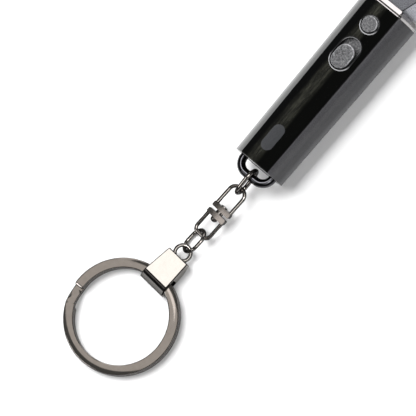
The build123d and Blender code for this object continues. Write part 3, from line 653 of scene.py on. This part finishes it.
def wire_ring(angle):
    to_end = min(angle - COIL_START, COIL_END - angle) * math.radians(1) * WIRE_RADIUS
    k = min(1.0, to_end / END_TAPER)
    k = math.sqrt(max(0.0, 1 - (1 - k) ** 2))
    t = math.radians(angle)
    outward = ring_x * math.cos(t) + ring_y * math.sin(t)
    return [tuple(ring_origin + outward * radius + ring_z * (coil_height(angle) + height))
            for radius, height in wire_section(0.55 + 0.45 * k, 0.62 + 0.38 * k)]


key_ring = piece("key_ring_finish", [wire_ring(angle) for angle in coil_angles()],
                 SLOT["key_ring"], "key_ring", "key_ring", angle=30, material="ring_nickel")

# ---------------------------------------------------------------------------
# ring clip: a wedge that runs from the eye away from the tail, cut through sideways.
# u runs along it from the eye, v across it.
# ---------------------------------------------------------------------------
CLIP_YAW = math.radians(4.0)
CLIP_LENGTH = 10.2
CLIP_BEVEL = 0.27
eye = centre("clip_eye") / MM
clip_along = Vector((-math.cos(CLIP_YAW), math.sin(CLIP_YAW), 0))
clip_across = Vector((math.sin(CLIP_YAW), math.cos(CLIP_YAW), 0))
clip_origin = Vector((eye.x, eye.y, 0)) + clip_along * 1.35
# side outline as (u, z)
CLIP_PROFILE = [(-0.1, eye.z - 1.15), (-0.1, eye.z + 1.13), (8.0, 4.13), (8.8, 3.80),
                (10.15, 2.55), (CLIP_LENGTH, 0.9), (9.4, 0.12), (2.2, 0.12)]
CLIP_OPENING = [(5.2, 0.62), (9.05, 0.62), (9.05, 3.46), (5.2, 3.46)]


def clip_plan(u, v):
    return clip_origin + clip_along * u + clip_across * v


def clip_side(bm, sign):
    """Outline vertices on the side v > 0 (sign 1) or v < 0 (sign -1)."""
    verts = []
    for u, z in CLIP_PROFILE:
        half_width = 3.1 + 0.7 * u / CLIP_LENGTH + 0.22
        place = clip_plan(u, sign * half_width) * MM + Vector((0, 0, z * MM))
        verts.append(bm.verts.new(tuple(place)))
    return verts


def ring_clip():
    mesh = bpy.data.meshes.new("clip")
    bm = bmesh.new()
    near, far = clip_side(bm, 1), clip_side(bm, -1)
    bm.faces.new(near)
    bm.faces.new(far[::-1])
    n = len(near)
    strips = [bm.faces.new((near[i], far[i], far[(i + 1) % n], near[(i + 1) % n]))
              for i in range(n)]
    bmesh.ops.recalc_face_normals(bm, faces=bm.faces)
    # The short slope beyond the top and all the bevels take the darker edge material, painted shade: a dark copy
    # of the nickel for the bevels.
    strips[2].material_index = 1
    bmesh.ops.bevel(bm, geom=list(bm.edges), offset=CLIP_BEVEL * MM, segments=4, profile=0.5,
                    affect="EDGES", clamp_overlap=True, material=1)
    bmesh.ops.recalc_face_normals(bm, faces=bm.faces)
    bm.to_mesh(mesh)
    bm.free()
    o = bpy.data.objects.new("ring_clip_finish", mesh)
    bpy.context.scene.collection.objects.link(o)
    for name in ("clip_nickel", "nickel_edge"):
        mesh.materials.append(SHADERS[name].material)
    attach(o, "clip")
    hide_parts("ring_clip")
    cutter = solid("chan", [[(*clip_plan(u, v).xy, z) for u, z in CLIP_OPENING]
                            for v in (-6, 6)])
    cut(o, [cutter], angle=35)
    normals = o.modifiers.new("even_normals", "WEIGHTED_NORMAL")
    normals.keep_sharp = True
    normals.weight = 90
    return o


clip = ring_clip()

# ---------------------------------------------------------------------------
# camera, in metres
# ---------------------------------------------------------------------------
VIEW_WIDTH = 0.104                              # width seen at the target
CAMERA_DISTANCE = 1.25
SENSOR = 36.0
CAMERA_ROLL = math.radians(49.8)
lean = Vector((-0.02, -0.30, 0.954)).normalized()          # from the object to the camera
level_x = (Vector((1, 0, 0)) - lean * lean.x).normalized()
level_y = lean.cross(level_x)
right = level_x * math.cos(CAMERA_ROLL) - level_y * math.sin(CAMERA_ROLL)
up = level_x * math.sin(CAMERA_ROLL) + level_y * math.cos(CAMERA_ROLL)
tail_centre = Vector((barrel_lo.x, 0.0, (barrel_lo.z + barrel_hi.z) / 2))
target = tail_centre - right * 0.012675 - up * 0.010175
eye_point = target + lean * CAMERA_DISTANCE

camera_data = bpy.data.cameras.new("camera")
camera_data.sensor_width = SENSOR
camera_data.lens = SENSOR * CAMERA_DISTANCE / VIEW_WIDTH
camera_data.clip_start = 0.01
camera_data.clip_end = 20
camera = bpy.data.objects.new("camera", camera_data)
bpy.context.scene.collection.objects.link(camera)
camera.matrix_world = Matrix((
    (right.x, up.x, lean.x, eye_point.x),
    (right.y, up.y, lean.y, eye_point.y),
    (right.z, up.z, lean.z, eye_point.z),
    (0, 0, 0, 1)))
bpy.context.scene.camera = camera


# ---------------------------------------------------------------------------
# floor
# ---------------------------------------------------------------------------
def make_floor(half=1.6, gap=0.00002):
    """Square floor a hair below the lowest CAD point."""
    mesh = bpy.data.meshes.new("floor")
    mesh.from_pydata([(-half, -half, 0), (half, -half, 0), (half, half, 0), (-half, half, 0)],
                     [], [(0, 1, 2, 3)])
    floor = bpy.data.objects.new("floor", mesh)
    floor.location = (0, 0, cad_lo.z - gap)
    bpy.context.scene.collection.objects.link(floor)
    m = Shader("pale_floor")
    m.set(Base_Color=m.ramp(m.noise(60), [(0.3, (0.88, 0.88, 0.885)), (0.7, grey(0.90))]),
          Roughness=0.9, Specular_IOR_Level=0.1)
    mesh.materials.append(m.material)


make_floor()


# ---------------------------------------------------------------------------
# lights, in metres
# ---------------------------------------------------------------------------
def area_light(name, location, size, power, aim=None, colour=(1, 1, 1)):
    """Rectangular light that faces aim, or straight down without one."""
    data = bpy.data.lights.new(name, "AREA")
    data.shape = "RECTANGLE"
    data.size, data.size_y = size
    data.energy = power
    data.color = colour
    o = bpy.data.objects.new(name, data)
    o.location = location
    if aim is not None:
        o.rotation_euler = (Vector(aim) - Vector(location)).to_track_quat("-Z", "Y").to_euler()
    bpy.context.scene.collection.objects.link(o)
    return o


def card(name, location, size, bright, aim=None, colour=(1, 1, 1)):
    """Light seen only in reflections, given by its brightness there."""
    power = bright * math.pi * size[0] * size[1]
    o = area_light(name, location, size, power, aim, colour)
    o.visible_diffuse = False
    o.visible_transmission = False
    o.visible_volume_scatter = False
    return o


def light_only(collection_name, objects, lights):
    """Limits lights to the given objects."""
    receivers = bpy.data.collections.new(collection_name)
    for o in objects:
        receivers.objects.link(o)
    for light in lights:
        light.light_linking.receiver_collection = receivers


# Diffuse light, placed by the camera's right, up and toward-camera directions
LIT_CENTRE = Vector((-0.03, 0, 0))
key = area_light("key", LIT_CENTRE - right * 0.42 + up * 0.34 + lean * 0.52,
                 size=(0.60, 0.60), power=9.6, aim=LIT_CENTRE)
fill = area_light("fill", LIT_CENTRE + right * 0.25 - up * 0.2 + lean * 0.9,
                  size=(0.8, 0.8), power=4.4, aim=LIT_CENTRE)
for light in (key, fill):
    light.visible_glossy = False

# Level cards above the key ring, the clip and the swivel
CARD_HEIGHT = 0.10
WARM = (1.0, 0.935, 0.88)
ring_centre = centre("key_ring")
clip_centre = centre("ring_clip")
push_centre = centre("push_button")
card_ring = card("card_ring",
                 ring_centre + Vector((-0.0032, 0.314 * CARD_HEIGHT, CARD_HEIGHT)),
                 size=(0.0354, 0.075), bright=0.50, colour=WARM)
card_ramp = card("card_ramp", ring_centre + Vector((0.0557, 0.0725, CARD_HEIGHT)),
                 size=(0.082, 0.055), bright=0.50, colour=WARM)
card_clip = card("card_clip", clip_centre + Vector((0.0193, 0.032, CARD_HEIGHT)),
                 size=(0.020, 0.030), bright=1.95, colour=(1.0, 0.98, 0.94))
card("card_bars", centre("swivel_rivet") + Vector((-0.0262, 0.0234, CARD_HEIGHT - 0.009)),
     size=(0.0085, 0.016), bright=0.80, colour=(1.0, 0.95, 0.92))

# Cards for the chain alone: a broad one and a small bright one
bail_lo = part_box("bail")[0]
chain_centre = (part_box("clip_eye")[1] + bail_lo) / 2
chain_centre.y = 0
chain_centre.x += 0.003
wire_card = card("wire_card", chain_centre + lean * 0.09, size=(0.056, 0.046), bright=1.9,
                 aim=chain_centre)
spark_card = card("spark_card", chain_centre + lean * 0.088, size=(0.013, 0.013),
                  bright=12.0, aim=chain_centre)
for light in (wire_card, spark_card):
    light.visible_camera = False
CHAIN = ("bail", "jump_ring", "swivel_upper", "swivel_lower", "swivel_rivet", "oval_link",
         "clip_eye")
light_only("chain_lit", [NODES[name] for name in CHAIN], [wire_card, spark_card])

bail_centre = centre("bail")
bail_centre.x = bail_lo.x + 0.003
bail_card = card("bail_card", bail_centre + Vector((0.0, 0.0345, 0.11)),
                 size=(0.034, 0.030), bright=9.0)
light_only("bail_lit", [NODES["bail"]], [bail_card])
light_only("ring_lit", [key_ring], [card_ring, card_ramp])
light_only("clip_lit", [clip], [card_clip])

# Cards for the whole torch
front_point = Vector((barrel_hi.x, 0, 0.011))
card("window", Vector((0.50, 0.72, 0.48)) * 0.6, size=(0.26, 0.20), bright=2.2,
     aim=(-0.02, 0, 0))
card("front_card", front_point + Vector((0.82, 0.30, 0.48)) * 0.25, size=(0.13, 0.11),
     bright=1.25, aim=front_point, colour=(1.0, 0.97, 0.97))
card("rim_front", push_centre + Vector((0.92, 0.34, 0.12)) * 0.30, size=(0.10, 0.05),
     bright=7.0, aim=push_centre)
card("low_card", clip_centre + Vector((-0.47, 0.15, 0.075)), size=(0.16, 0.10),
     bright=0.45, aim=clip_centre)
card("rim_card", push_centre + Vector((-0.713, 0.30, 0.627)) * 0.28, size=(0.075, 0.060),
     bright=2.6, aim=push_centre - Vector((0.005, 0, 0)))


# ---------------------------------------------------------------------------
# world: dark grey, a little lighter overhead
# ---------------------------------------------------------------------------
def make_world():
    world = bpy.data.worlds.new("studio")
    bpy.context.scene.world = world
    world.use_nodes = True
    nodes, links = world.node_tree.nodes, world.node_tree.links
    nodes.clear()
    output = nodes.new("ShaderNodeOutputWorld")
    background = nodes.new("ShaderNodeBackground")
    coords = nodes.new("ShaderNodeTexCoord")
    split = nodes.new("ShaderNodeSeparateXYZ")
    ramp = nodes.new("ShaderNodeValToRGB")
    set_stops(ramp, [(0.0, grey(0.03)), (0.3, grey(0.05)), (0.6, grey(0.07)),
                     (0.85, grey(0.08)), (1.0, (0.085, 0.085, 0.08))])
    background.inputs["Strength"].default_value = 1.0
    links.new(coords.outputs["Generated"], split.inputs[0])
    links.new(split.outputs["Z"], ramp.inputs[0])
    links.new(ramp.outputs[0], background.inputs[0])
    links.new(background.outputs[0], output.inputs[0])


make_world()
bpy.context.scene.view_settings.view_transform = "Standard"
bpy.context.scene.view_settings.look = "None"
